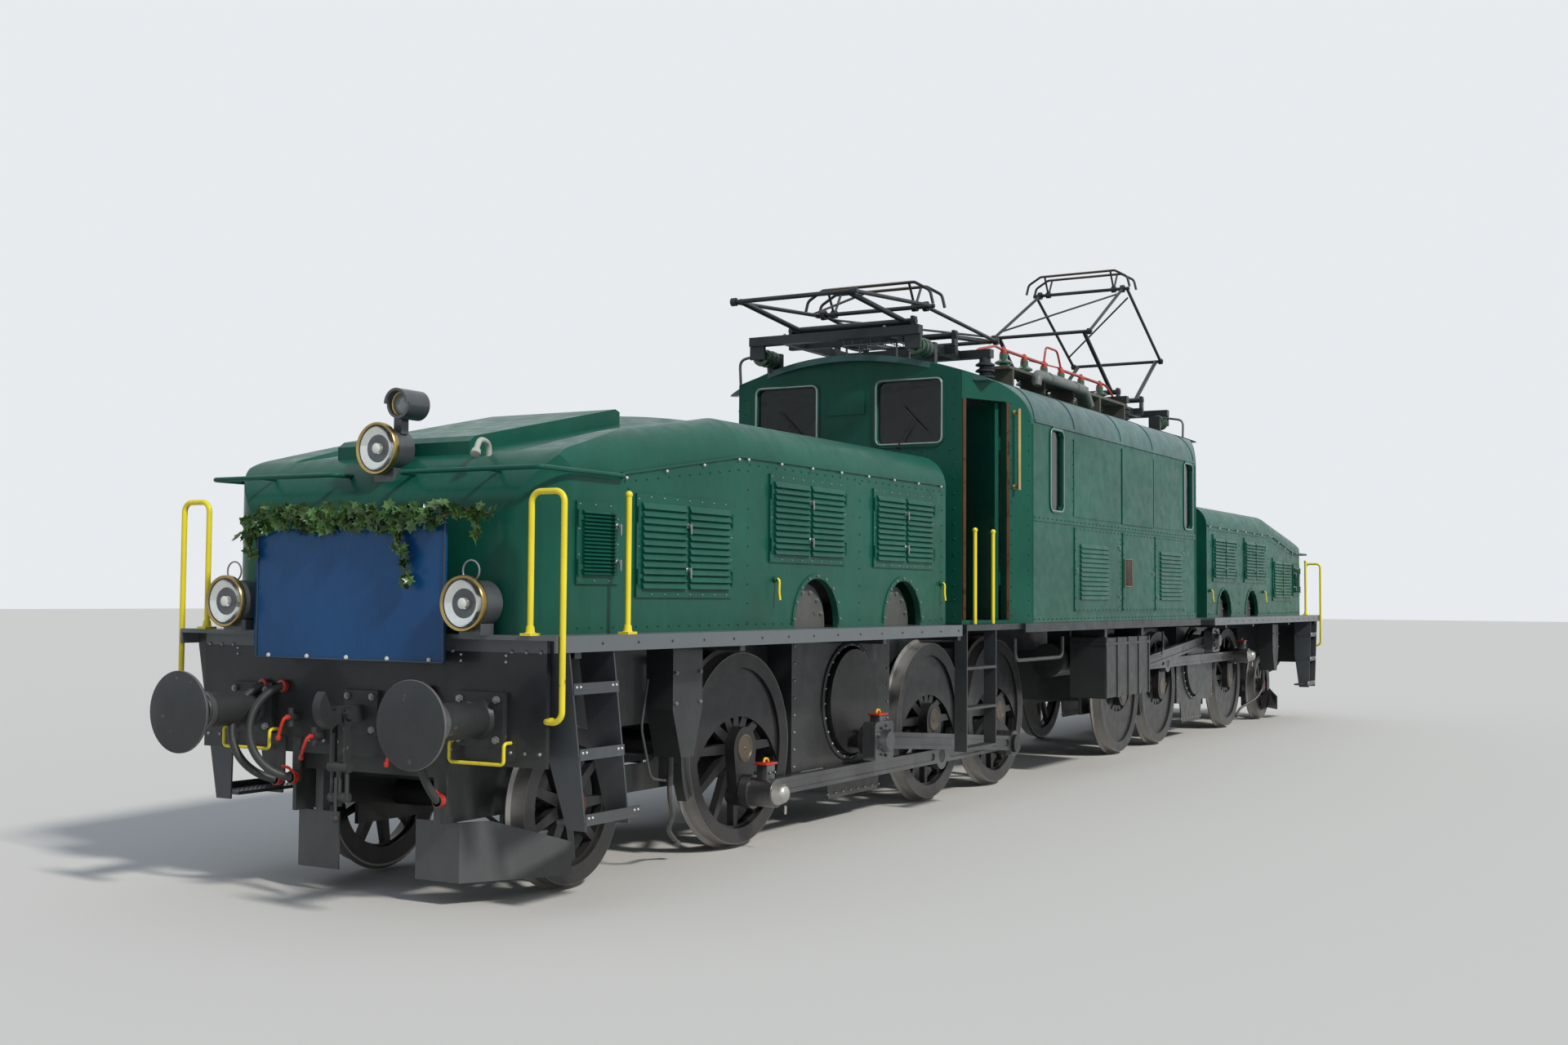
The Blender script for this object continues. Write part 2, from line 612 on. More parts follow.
# Buffers, hook and hoses: forged steel on the beam in grey paint, the heads
# rubbed bare at the rim. Base plates are held by big nuts, cocks have red
# handles, and the hoses end in red couplings.
buffer_y, buffer_z = 0.880, 1.083
disc_x, collar_x = -10.012, -9.83
base_x, hook_plate_x = -9.474, -9.466
buffer_paint = finish("buffer_paint", (0.042, 0.047, 0.050), 0.45, metal=0.2, dust=0.3,
                      dust_low=0.4, dust_high=1.2, vary=0.3, wear=(0.12, 0.10, 0.085),
                      wear_share=0.30, grain=0.0008)
dress(buffer_paint, "front_buffing_gear", "rear_buffing_gear")
rows = [[(base_x, y, buffer_z - 0.110), (base_x, y, buffer_z + 0.110)]
        for side in (-1, 1) for y in (side * buffer_y - 0.130, side * buffer_y + 0.130)]
rows += [[(hook_plate_x, y, buffer_z + z) for y in (-0.095, 0.095)] for z in (-0.095, 0.095)]
bolt_on("buffer_nuts", nut_rows, rows, 0.19, 0.021, bolt_steel, height=0.022,
        facing=facing_end)
bm = bmesh.new()
for side in (-1, 1):
    lathe(bm, ((0.0, 0.2340), (0.003, 0.2375), (0.015, 0.2375), (0.019, 0.2340)),
          (disc_x, side * buffer_y, buffer_z), (1, 0, 0), 56)
    lathe(bm, ((-0.020, 0.106), (-0.016, 0.111), (0.012, 0.111), (0.016, 0.106)),
          (collar_x, side * buffer_y, buffer_z), (1, 0, 0), 40)
at_both_ends("buffer_rims", forge(bm),
             finish("rubbed_steel", (0.20, 0.20, 0.20), 0.38, metal=0.7))
lever_cocks = ((0.520, 1.038), (-0.330, 0.928), (0.330, 0.933))
high_couplings = ((0.790, 1.218), (0.630, 1.218), (-0.500, 1.218))
low_couplings = ((0.650, 0.668), (0.520, 0.683), (-0.610, 0.618))
bm = bmesh.new()
for y, z in lever_cocks:
    lathe(bm, ((0.0, 0.016), (0.020, 0.016), (0.026, 0.010), (0.026, 0.0)),
          (-9.510, y, z), (-1, 0, 0), 14)
    tube(bm, bent([(-9.520, y, z), (-9.548, y, z - 0.004), (-9.556, y + 0.018, z - 0.060),
                   (-9.560, y + 0.030, z - 0.115)], 0.025, 4), 0.011, 10)
    lathe(bm, ((-0.020, 0.0), (-0.014, 0.013), (0.0, 0.017), (0.014, 0.013), (0.020, 0.0)),
          (-9.560, y + 0.030, z - 0.118), (0, 0, 1), 12)
for y, z in high_couplings:
    lathe(bm, ((0.0, 0.033), (0.004, 0.0365), (0.030, 0.0365), (0.034, 0.031)),
          (-9.438, y, z), (-1, 0, 0), 20)
for y, z in low_couplings:
    lathe(bm, ((0.0, 0.033), (0.003, 0.0385), (0.034, 0.0385), (0.038, 0.030)),
          (-9.452, y, z), (-1, 0, 0), 20)
    tube(bm, bent([(-9.470, y, z + 0.030), (-9.500, y, z + 0.060), (-9.505, y + 0.05, z + 0.065)],
                  0.02, 4), 0.009, 8)
at_both_ends("red_cocks", forge(bm), lid_red)

# Steps and wheel guards: pressed plate, the treads punched with raised studs to
# hold a boot, hung on side plates by bolts whose ends are dabbed white. The
# guards under the deck are a lighter blue grey.
guard_paint = finish("guard_paint", (0.060, 0.070, 0.080), 0.42, coat=0.1, dust=0.5,
                     dust_low=0.1, dust_high=1.0, vary=0.3, grain=0.0006)
dress(guard_paint, "front_steps_and_guards", "rear_steps_and_guards")
white_dab = finish("white_dab", (0.70, 0.70, 0.68), 0.5, vary=0.1)
step_table = ((1.238, -9.345, -8.925), (0.878, -9.283, -8.865), (0.518, -9.222, -8.700))
step_edge_y = 1.439
rows, dabs = [], []
for side in (-1, 1):
    for z, front, back in step_table:
        rows += [[(front + 0.025, side * y, z + 0.010), (back - 0.020, side * y, z + 0.010)]
                 for y in (1.265, 1.300, 1.335, 1.370, 1.405)]
        y = side * step_edge_y
        dabs += [[(x, y, z + 0.030), (x + 0.035, y, z + 0.030)]
                 for x in (front + 0.025, back - 0.060)]
bolt_on("tread_studs", rivet_rows, rows, 0.036, 0.006, guard_paint)
dabs += [[(-9.432, side * y, 1.40), (-9.432, side * y, 1.435)]
         for side in (-1, 1) for y in (1.04, 0.72)]
bolt_on("white_bolts", rivet_rows, dabs, 0.035, 0.008, white_dab)

# Hoods: long sheet covers over the motors and gear, dark green gloss paint on
# hand-beaten plates. They bolt to the deck along a flange, with domed bolts.
green = (0.007, 0.090, 0.060)
green_paint = finish("green_paint", green, 0.36, coat=0.05, dust=0.06, dust_low=1.5,
                     dust_high=2.0, vary=0.18, wave=0.005, shine=0.16)
dress(green_paint, "front_hood", "rear_hood", "front_hood_louvres", "rear_hood_louvres")
hood_y, door_y = 1.236, 1.250
door_table = (
    (8.875, 0.410, 1.833, 0.470), (7.945, 1.090, 1.758, 0.620),
    (6.355, 1.110, 2.003, 0.600), (4.790, 1.100, 1.998, 0.600),
)
wide_door = 0.6
hood_lines, door_lines, gutter_lines = [], [], []
for side in (-1, 1):
    y = side * hood_y
    hood_lines += [[(-9.05, y, 1.585), (-6.60, y, 1.585)], [(-4.42, y, 1.585), (-4.04, y, 1.585)]]
    hood_lines += [[(x, y, 1.60), (x, y, z)]
                   for x, z in ((-8.56, 2.40), (-7.18, 2.60), (-5.55, 2.62), (-4.06, 2.62))]
    hood_lines += [[(-7.16, y, 2.645), (-4.10, y, 2.645)], [(-8.60, y, 2.44), (-7.30, y, 2.60)]]
    y = side * door_y
    for x, width, low, height in door_table:
        x0, x1 = -x - width / 2 + 0.018, -x + width / 2 - 0.018
        z0, z1 = low + 0.018, low + height - 0.018
        door_lines.append([(x0, y, z0), (x1, y, z0), (x1, y, z1), (x0, y, z1), (x0, y, z0)])
    gutter_lines += [[(-8.60, y, 2.462), (-7.32, y, 2.667)], [(-7.20, y, 2.674), (-4.10, y, 2.684)]]
bolt_on("hood_rivets", rivet_rows, hood_lines, 0.115, 0.007, green_paint)
bolt_on("door_bolts", rivet_rows, door_lines, 0.14, 0.006, bolt_steel)
bolt_on("gutter_bolts", rivet_rows, gutter_lines, 0.42, 0.010, white_dab)

# Hood door furniture: forged strap hinges and turn handles in the body's green,
# with a few bare latches, and small yellow tap levers low on the hood side.
hinges, latches, levers = bmesh.new(), bmesh.new(), bmesh.new()
for side in (-1, 1):
    for x, width, low, height in door_table:
        wide = width > wide_door
        for way in ((-1, 1) if wide else (-1,)):
            edge = -x + way * (width / 2 - 0.010)
            strap = sorted((edge, edge - way * 0.09))
            for z in (low + height * 0.20, low + height * 0.80):
                lathe(hinges, ((-0.045, 0.0), (-0.045, 0.010), (0.045, 0.010), (0.045, 0.0)),
                      (edge, side * 1.256, z), (0, 0, 1), 10)
                block(hinges, (strap[0], side * 1.253 - 0.004, z - 0.016),
                      (strap[1], side * 1.253 + 0.004, z + 0.016), 0.003)
        at = -x if wide else -x + width / 2 - 0.03
        for z in (low + height * 0.28, low + height * 0.72):
            lathe(latches, ((0.0, 0.018), (0.012, 0.018), (0.018, 0.012), (0.034, 0.012),
                            (0.034, 0.0)), (at, side * 1.246, z), (0, side, 0), 14)
            block(latches, (at - 0.007, side * 1.282 - 0.006, z - 0.055),
                  (at + 0.007, side * 1.282 + 0.006, z + 0.012), 0.004)
    for x in (-6.83, -4.09):
        lathe(hinges, ((0.0, 0.020), (0.016, 0.020), (0.022, 0.012), (0.030, 0.012), (0.030, 0.0)),
              (x, side * 1.234, 1.885), (0, side, 0), 16)
        tube(levers, bent([(x, side * 1.262, 1.890), (x, side * 1.278, 1.880),
                           (x - 0.012, side * 1.282, 1.800), (x - 0.012, side * 1.290, 1.745)],
                          0.02, 4), 0.009, 10)
at_both_ends("door_hinges", forge(hinges), green_paint)
at_both_ends("door_latches", forge(latches), bolt_steel)
yellow = (0.86, 0.72, 0.03)
yellow_paint = finish("yellow_paint", yellow, 0.38, coat=0.2, vary=0.08,
                      wear=(0.25, 0.2, 0.1), wear_share=0.28)
at_both_ends("tap_levers", forge(levers), yellow_paint)

# Motor ends: grey cast half discs that show through arched openings low in the
# hood side. A flat flange with bolts edges each arch.
motor_paint = finish("motor_paint", (0.11, 0.115, 0.11), 0.5, metal=0.2, vary=0.3, dust=0.3,
                     dust_low=1.4, dust_high=2.0, grain=0.0008, wear=(0.05, 0.05, 0.045),
                     wear_share=0.32)
dress(motor_paint, "front_motors", "rear_motors")
arches_x, arch_z = (-6.22, -4.80), 1.573
flange = ((0.327, 1.2345), (0.362, 1.2345), (0.362, 1.243), (0.327, 1.243))


def arch(x, y, radius, steps=28, skip=0):
    """Points over an arch from one foot to the other, less some at each foot."""
    angles = (math.pi * k / steps for k in range(skip, steps + 1 - skip))
    return [(x + radius * math.cos(a), y, arch_z + radius * math.sin(a)) for a in angles]


bm = bmesh.new()
arch_lines, motor_lines = [], []
for side in (-1, 1):
    for x in arches_x:
        sections = [[bm.verts.new(corner) for corner in corners]
                    for corners in zip(*(arch(x, side * y, radius, 36) for radius, y in flange))]
        for a, b in zip(sections, sections[1:]):
            for k in range(4):
                n = (k + 1) % 4
                bm.faces.new((a[k], a[n], b[n], b[k]))
        bm.faces.new(sections[0])
        bm.faces.new(sections[-1])
        arch_lines.append(arch(x, side * 1.244, 0.345, skip=1))
        motor_lines.append(arch(x, side * 1.143, 0.235, skip=3))
at_both_ends("arch_flanges", forge(bm), green_paint)
bolt_on("arch_bolts", nut_rows, arch_lines, 0.118, 0.011, bolt_steel, height=0.012)
bolt_on("motor_bolts", nut_rows, motor_lines, 0.10, 0.016, bolt_steel, height=0.022)

# Headlamps: grey sheet barrels with a spun silvery reflector, a clear domed
# glass in a brass rim and a wire carrying ring. A small hooded signal lamp
# stands over the top one.
lamp_paint = finish("lamp_paint", (0.085, 0.095, 0.105), 0.35, metal=0.3, coat=0.2, vary=0.3)
dress(lamp_paint, "front_headlamps", "rear_headlamps")
lamp_brass = finish("lamp_brass", (0.42, 0.30, 0.11), 0.25, metal=0.95, vary=0.2)
reflector = finish("reflector", (0.80, 0.80, 0.78), 0.12, metal=1.0, vary=0.05)


def clear_glass(name, color, rough, bend):
    """Plain clear glass."""
    material = bpy.data.materials.new(name)
    material.use_nodes = True
    shader = material.node_tree.nodes["Principled BSDF"]
    shader.inputs["Base Color"].default_value = color
    shader.inputs["Roughness"].default_value = rough
    shader.inputs["Transmission Weight"].default_value = 1.0
    shader.inputs["IOR"].default_value = bend
    return material


lamp_glass = clear_glass("lamp_glass", (0.95, 0.97, 0.97, 1.0), 0.04, 1.25)
bulb_glass = finish("bulb_glass", (0.92, 0.92, 0.86), 0.2, coat=0.6, vary=0.03)
low_lamps = ((-9.656, -0.915, 1.720), (-9.656, 0.915, 1.720))
top_lamp = (-9.400, -0.030, 2.618)
rims, dish, glass, bulbs, rings = (bmesh.new() for _ in range(5))
for lamp in (*low_lamps, top_lamp):
    lathe(rims, ((-0.002, 0.136), (-0.008, 0.141), (-0.010, 0.150), (-0.002, 0.155),
                 (0.024, 0.155), (0.030, 0.151), (0.030, 0.136), (-0.002, 0.136)),
          lamp, (1, 0, 0), 48)
    lathe(dish, ((0.0285, 0.0), (0.024, 0.045), (0.018, 0.080), (0.011, 0.110), (0.004, 0.134),
                 (0.006, 0.135), (0.013, 0.111), (0.020, 0.081), (0.026, 0.046), (0.0295, 0.0)),
          lamp, (1, 0, 0), 40)
    lathe(glass, ((0.003, 0.136), (-0.006, 0.118), (-0.013, 0.085), (-0.018, 0.045),
                  (-0.020, 0.0)), lamp, (1, 0, 0), 40)
    lathe(bulbs, ((0.026, 0.016), (0.010, 0.018), (0.002, 0.030), (-0.004, 0.024),
                  (-0.008, 0.012), (-0.009, 0.0)), lamp, (1, 0, 0), 20)
for x, y, z in low_lamps:
    tube(rings, circle((x + 0.070, y, z + 0.178), 0.058, "x", 32), 0.005, 8)
    block(rings, (x + 0.055, y - 0.014, z + 0.118), (x + 0.085, y + 0.014, z + 0.134), 0.004)
at_both_ends("lamp_rims", forge(rims), lamp_brass)
at_both_ends("lamp_reflectors", forge(dish), reflector)
at_both_ends("lamp_glasses", forge(glass), lamp_glass)
at_both_ends("lamp_bulbs", forge(bulbs), bulb_glass)
at_both_ends("lamp_rings", forge(rings), bolt_steel)
signal_y, signal_z = -0.170, 2.878
bm = bmesh.new()
lathe(bm, ((-0.004, 0.066), (-0.010, 0.074), (-0.004, 0.081), (0.012, 0.081), (0.012, 0.066),
           (-0.004, 0.066)), (-9.341, signal_y, signal_z), (1, 0, 0), 32)
at_both_ends("signal_lamp_rim", forge(bm), lamp_brass)
bm = bmesh.new()
lathe(bm, ((0.0, 0.0), (0.001, 0.030), (0.006, 0.055), (0.012, 0.068), (0.016, 0.068),
           (0.016, 0.0)), (-9.352, signal_y, signal_z), (1, 0, 0), 32)
at_both_ends("signal_lamp_glass", forge(bm),
             finish("signal_glass", (0.25, 0.28, 0.27), 0.08, coat=1.0))

# Breather pipe: a pipe with a drooping end that rises from a brown cast bell on
# the hood's brow, beside the top lamp.
pipe_x, pipe_y = -9.18, -0.690
bm = bmesh.new()
lathe(bm, ((-0.05, 0.060), (0.0, 0.060), (0.020, 0.052), (0.050, 0.034), (0.075, 0.028),
           (0.075, 0.0)), (pipe_x, pipe_y, 2.470), (0, 0, 1), 24)
at_both_ends("breather_base", forge(bm), finish("cast_brown", (0.12, 0.045, 0.02), 0.55, vary=0.3))
bm = bmesh.new()
tube(bm, bent([(pipe_x, pipe_y, 2.53), (pipe_x, pipe_y, 2.640), (-9.30, -0.720, 2.655),
               (-9.36, -0.745, 2.58)], 0.05), 0.017, 12)
lathe(bm, ((0.0, 0.018), (0.010, 0.026), (0.040, 0.030), (0.044, 0.022)),
      (-9.350, -0.741, 2.592), (-0.55, -0.25, -0.8), 16)
at_both_ends("breather_pipe", forge(bm), finish("pale_pipe", (0.42, 0.44, 0.40), 0.45, vary=0.2))

# Corner rails: bent steel tube in chipped yellow paint, set into round feet that
# are bolted to the deck.
dress(yellow_paint, "front_yellow_rails", "rear_yellow_rails")
deck_top = 1.553
rail_stands = ((-9.490, 1.250), (-8.790, 1.400))
bm = bmesh.new()
for side in (-1, 1):
    for x, y in rail_stands:
        lathe(bm, ((0.0, 0.034), (0.008, 0.034), (0.014, 0.026), (0.045, 0.022), (0.048, 0.018)),
              (x, side * y, deck_top), (0, 0, 1), 20)
at_both_ends("rail_feet", forge(bm), yellow_paint)

# Board on the nose: enamelled steel plate left plain blue, with a dark backing,
# held along its foot by five white-painted bolts.
board_paint = finish("board_paint", (0.005, 0.070, 0.21), 0.30, coat=0.10, vary=0.12, shine=0.25)
dress(board_paint, "headboard")
rows = [[(-9.582, -0.62, 1.405), (-9.582, 0.62, 1.405)]]
piece("board_bolts",
      fasteners(nut_rows, rows, 0.31, 0.013, white_dab, 0.012, facing_end), white_dab,
      "front_bogie")
board_half, board_low, board_high = 0.722, 1.392, 2.184
edge = [(-9.583, y * board_half, z) for y, z in (
    (-1, board_low), (1, board_low), (1, board_high), (-1, board_high), (-1, board_low))]
bm = bmesh.new()
tube(bm, edge, 0.0065, 8)
piece("board_edge", forge(bm), finish("board_edge", (0.03, 0.05, 0.08), 0.4, coat=0.2),
      "front_bogie")

# Ivy garland: cut stems of glossy ivy tied along the top of the board, with two
# sprays that hang down and a sprig that reaches past its end.
stem_paint = finish("stem_bark", (0.10, 0.075, 0.035), 0.8, vary=0.3)
leaf_paint = finish("ivy_leaf", (0.055, 0.125, 0.030), 0.38, coat=0.15, vary=0.75, scale=6.0)
stems = (
    ((-9.605, 0.80, 2.14), (-9.61, 0.60, 2.215), (-9.60, 0.25, 2.195), (-9.61, -0.10, 2.215),
     (-9.60, -0.45, 2.185), (-9.61, -0.74, 2.215)),
    ((-9.61, 0.74, 2.18), (-9.625, 0.76, 2.08), (-9.61, 0.745, 1.975)),
    ((-9.61, -0.38, 2.18), (-9.63, -0.43, 2.04), (-9.62, -0.47, 1.90), (-9.61, -0.50, 1.815)),
    ((-9.60, -0.70, 2.21), (-9.57, -0.88, 2.235), (-9.55, -1.03, 2.205)),
    ((-9.56, -0.93, 2.225), (-9.58, -0.95, 2.13), (-9.58, -0.945, 2.07)),
)
leaf_size = 0.072
leaf_spacing = (0.0052, 0.011, 0.011, 0.013, 0.016)
leaf_spread = (0.075, 0.045, 0.045, 0.035, 0.025)
bm = bmesh.new()
for stem in stems:
    tube(bm, bent(stem, 0.06, 5), 0.006, 8)
piece("ivy_stems", forge(bm), stem_paint, "front_bogie")
outline = ((0.0, -0.50), (0.16, -0.22), (0.46, -0.26), (0.34, 0.04), (0.44, 0.32), (0.14, 0.28),
           (0.0, 0.50), (-0.14, 0.28), (-0.44, 0.32), (-0.34, 0.04), (-0.46, -0.26), (-0.16, -0.22))
bm = bmesh.new()
middle = bm.verts.new((0.0, 0.0, 0.0))
edge = [bm.verts.new((-0.10 - 0.10 * abs(a), a, b)) for a, b in outline]
for k, corner in enumerate(edge):
    bm.faces.new((middle, corner, edge[(k + 1) % len(edge)]))
leaf = bpy.data.objects.new("leaf", forge(bm))
bpy.context.scene.collection.objects.link(leaf)

garland = bpy.data.node_groups.new("garland", "GeometryNodeTree")
for label, kind in (("Geometry", "Geometry"), ("Spacing", "Float"), ("Leaf size", "Float"),
                    ("Bushiness", "Float"), ("Leaf", "Object"), ("Green", "Material")):
    garland.interface.new_socket(label, in_out="INPUT", socket_type=f"NodeSocket{kind}")
garland.interface.new_socket("Geometry", in_out="OUTPUT", socket_type="NodeSocketGeometry")
add, link = garland.nodes.new, garland.links.new
given = add("NodeGroupInput")
line = add("GeometryNodeMeshToCurve")
even = add("GeometryNodeResampleCurve")
even.mode = "LENGTH"
spread = add("FunctionNodeRandomValue")
spread.data_type = "FLOAT_VECTOR"
spread.inputs[0].default_value = (-0.55, -0.8, -1.0)
spread.inputs[1].default_value = (0.35, 0.8, 1.0)
spread.inputs["Seed"].default_value = 7
wide = add("ShaderNodeVectorMath")
wide.operation = "SCALE"
loose = add("GeometryNodeSetPosition")
points = add("GeometryNodeCurveToPoints")
points.mode = "EVALUATED"
sown = add("GeometryNodeInstanceOnPoints")
tilt = add("FunctionNodeRandomValue")
tilt.data_type = "FLOAT_VECTOR"
tilt.inputs[0].default_value = (-2.6, -0.9, -1.1)
tilt.inputs[1].default_value = (2.6, 0.9, 1.1)
tilt.inputs["Seed"].default_value = 11
size = add("FunctionNodeRandomValue")
size.inputs[2].default_value = 0.6
size.inputs[3].default_value = 1.25
size.inputs["Seed"].default_value = 5
sized = add("ShaderNodeMath")
sized.operation = "MULTIPLY"
shape = add("GeometryNodeObjectInfo")
real = add("GeometryNodeRealizeInstances")
paint = add("GeometryNodeSetMaterial")
out = add("NodeGroupOutput")
turned = add("FunctionNodeEulerToRotation")
link(given.outputs["Geometry"], line.inputs[0])
link(line.outputs[0], even.inputs["Curve"])
link(given.outputs["Spacing"], even.inputs["Length"])
link(even.outputs[0], points.inputs[0])
link(points.outputs[0], loose.inputs["Geometry"])
link(spread.outputs[0], wide.inputs[0])
link(given.outputs["Bushiness"], wide.inputs["Scale"])
link(wide.outputs[0], loose.inputs["Offset"])
link(loose.outputs[0], sown.inputs["Points"])
link(given.outputs["Leaf"], shape.inputs[0])
link(shape.outputs["Geometry"], sown.inputs["Instance"])
link(tilt.outputs[0], turned.inputs[0])
link(turned.outputs[0], sown.inputs["Rotation"])
link(size.outputs[1], sized.inputs[0])
link(given.outputs["Leaf size"], sized.inputs[1])
link(sized.outputs[0], sown.inputs["Scale"])
link(sown.outputs[0], real.inputs[0])
link(real.outputs[0], paint.inputs["Geometry"])
link(given.outputs["Green"], paint.inputs["Material"])
link(paint.outputs[0], out.inputs[0])


def merged(*meshes):
    """One mesh from several."""
    bm = bmesh.new()
    for mesh in meshes:
        bm.from_mesh(mesh)
    mesh = bpy.data.meshes.new("mesh")
    bm.to_mesh(mesh)
    bm.free()
    return mesh


leaves = []
for stem, spacing, bushiness in zip(stems, leaf_spacing, leaf_spread):
    path = bent(stem, 0.06, 4)
    leaves.append(grown(garland, path, [(k, k + 1) for k in range(len(path) - 1)], {
        "Spacing": spacing, "Leaf size": leaf_size, "Bushiness": bushiness,
        "Leaf": leaf, "Green": leaf_paint}))
bpy.data.objects.remove(leaf)
piece("ivy_leaves", merged(*leaves), leaf_paint, "front_bogie")

# Body: dark green sheet on a steel frame, riveted at its seams and round its
# raised panels and louvred doors. All four corners are drawn in beside the
# cabs, and two of them hold the cab doors.
dress(green_paint, "body_shell", "rear_cab_door", "front_cab_door")
dress(frame_paint, "underframe", "transformer")
sill_rivets, door_rivets = -1.476, -1.485
rows = [[(-2.58, -1.484, z), (2.58, -1.484, z)] for z in (2.498, 1.583)]
rows += [[(x, sill_rivets, z0), (x, sill_rivets, z1)]
         for x in (-2.60, 2.60) for z0, z1 in ((1.64, 2.44), (2.56, 3.32))]
rows += [[(x, sill_rivets, 1.64), (x, sill_rivets, 2.44)] for x in (-0.125, 1.005, 2.14)]
rows += [[(x, sill_rivets, 2.58), (x, sill_rivets, 3.28)] for x in (-1.563, -0.122, 0.970)]
for x0, x1 in ((-1.515, -0.185), (-0.065, 0.965), (1.045, 2.105)):
    rows.append([(x, door_rivets, z) for x, z in (
        (x0, 1.663), (x1, 1.663), (x1, 2.433), (x0, 2.433), (x0, 1.663))])
half_rivets = fasteners(rivet_rows, rows, 0.112, 0.0075, green_paint)
other_half = half_rivets.copy()
other_half.transform(half_turn)
piece("body_rivets", merged(half_rivets, other_half), green_paint, "body")

cab_x = 3.40
wall_way = math.atan2(0.345, 0.750)
wall_frames = []
for flip in (1, -1):
    along = Vector((flip * math.cos(wall_way), -math.sin(wall_way), 0.0))
    inward = Vector((flip * math.sin(wall_way), math.cos(wall_way), 0.0))
    at = Vector((-flip * cab_x, -1.13, 0.0))
    wall_frames += [(at, along, inward), (half_turn @ at, half_turn @ along, half_turn @ inward)]
door_walls = wall_frames[:2]
rows = []
for at, along, inward in wall_frames:
    for run, low, high in ((0.800, 1.62, 3.36), (0.585, 1.62, 3.50), (0.020, 1.62, 3.50)):
        rows.append([at + along * run - inward * 0.001 + Vector((0, 0, z)) for z in (low, high)])
for x in (-cab_x - 0.001, cab_x + 0.001):
    rows += [[(x, y, 1.62), (x, y, 3.60)] for y in (-1.06, 1.06)]
    rows.append([(x, -1.02, 3.06), (x, 1.02, 3.06)])
piece("cab_rivets", fasteners(rivet_rows, rows, 0.125, 0.0075, green_paint), green_paint,
      "body")

# Window frames and door trim: pale metal beads hold the panes in their rounded
# openings, a wiper lies on each front pane, and the doorways' jambs are faced
# with varnished wood rubbed dark.
bead_metal = finish("bead_metal", (0.30, 0.34, 0.33), 0.35, metal=0.6, vary=0.2)


def rounded_loop(at, across, up, wide, high, corner):
    """Closed loop of points round an opening with rounded corners."""
    at, across, up = Vector(at), Vector(across), Vector(up)
    a, b = wide / 2, high / 2
    loop = [at + up * b]
    for sx, sz in ((1, 1), (1, -1), (-1, -1), (-1, 1)):
        loop.append(at + across * sx * a + up * sz * b)
    loop.append(at + up * b)
    return bent(loop, corner, 5)


window_y = (-0.620, 0.620)
front_pane, side_pane = (0.640, 0.570, 0.06), (0.348, 0.758, 0.07)
bm = bmesh.new()
for way in (-1, 1):
    for y in window_y:
        tube(bm, rounded_loop((way * 3.404, y, 3.408), (0, 1, 0), (0, 0, 1), *front_pane), 0.011, 8)
for side in (-1, 1):
    for x in (-1.995, 2.320):
        tube(bm, rounded_loop((-side * x, side * 1.478, 2.958), (1, 0, 0), (0, 0, 1), *side_pane),
             0.010, 8)
piece("window_beads", forge(bm), bead_metal, "body")
bm = bmesh.new()
for way in (-1, 1):
    for y in window_y:
        pivot = y + 0.1
        lathe(bm, ((0.0, 0.018), (0.018, 0.018), (0.022, 0.010), (0.022, 0.0)),
              (way * 3.402, pivot, 3.100), (way, 0, 0), 12)
        tube(bm, ((way * 3.420, pivot, 3.100), (way * 3.416, y - 0.05, 3.34)), 0.005, 8)
        tube(bm, ((way * 3.412, y - 0.16, 3.23), (way * 3.412, y + 0.06, 3.46)), 0.006, 8)
piece("wipers", forge(bm), finish("wiper_black", (0.02, 0.02, 0.022), 0.5), "body")
wood = finish("jamb_wood", (0.075, 0.030, 0.013), 0.5, coat=0.05, vary=0.45,
              wear=(0.03, 0.015, 0.008), wear_share=0.40, shine=0.2)
battens = []
for at, along, inward in door_walls:
    turn = Matrix((along, inward, Vector((0, 0, 1)))).transposed().to_4x4()
    bm = bmesh.new()
    for x0, x1 in ((0.517, 0.556), (0.004, 0.040)):
        block(bm, (x0, -0.012, 1.585), (x1, 0.002, 3.50), 0.004)
    batten = forge(bm)
    batten.transform(Matrix.Translation(at) @ turn)
    battens.append(batten)
piece("door_jambs", merged(*battens), wood, "body")

# Blank plates and catches on the body side: a cast plate left empty on each
# side in a bronze rim, and steel catches that turn on the louvred doors.
plate_paint = finish("plate_paint", (0.045, 0.026, 0.018), 0.5, vary=0.35, grain=0.0008, shine=0.2)
rim_metal = finish("rim_metal", (0.30, 0.26, 0.20), 0.4, metal=0.6)
plate_x, plate_z = (-0.045, 0.195), (1.900, 2.180)
catch_table = ((-0.215, 1.80), (-0.215, 2.30), (1.085, 1.80), (2.065, 2.30),
               (0.930, 2.05), (-1.490, 2.05))
plates, rims, catches = bmesh.new(), bmesh.new(), bmesh.new()
for side in (-1, 1):
    x0, x1 = sorted(-side * x for x in plate_x)
    z0, z1 = plate_z
    block(plates, (x0, side * 1.487 - 0.005, z0), (x1, side * 1.487 + 0.005, z1), 0.003)
    tube(rims, [(x, side * 1.492, z) for x, z in (
        (x0, z0), (x1, z0), (x1, z1), (x0, z1), (x0, z0))], 0.006, 8)
    for x, z in catch_table:
        at = -side * x
        lathe(catches, ((0.0, 0.014), (0.006, 0.014), (0.008, 0.008), (0.015, 0.008),
                        (0.015, 0.0)), (at, side * 1.483, z), (0, side, 0), 12)
        block(catches, (at - 0.006, side * 1.499 - 0.003, z - 0.034),
              (at + 0.006, side * 1.499 + 0.003, z + 0.006), 0.002)
piece("blank_plates", forge(plates), plate_paint, "body")
piece("plate_rims", forge(rims), rim_metal, "body")
piece("body_catches", forge(catches), bolt_steel, "body")

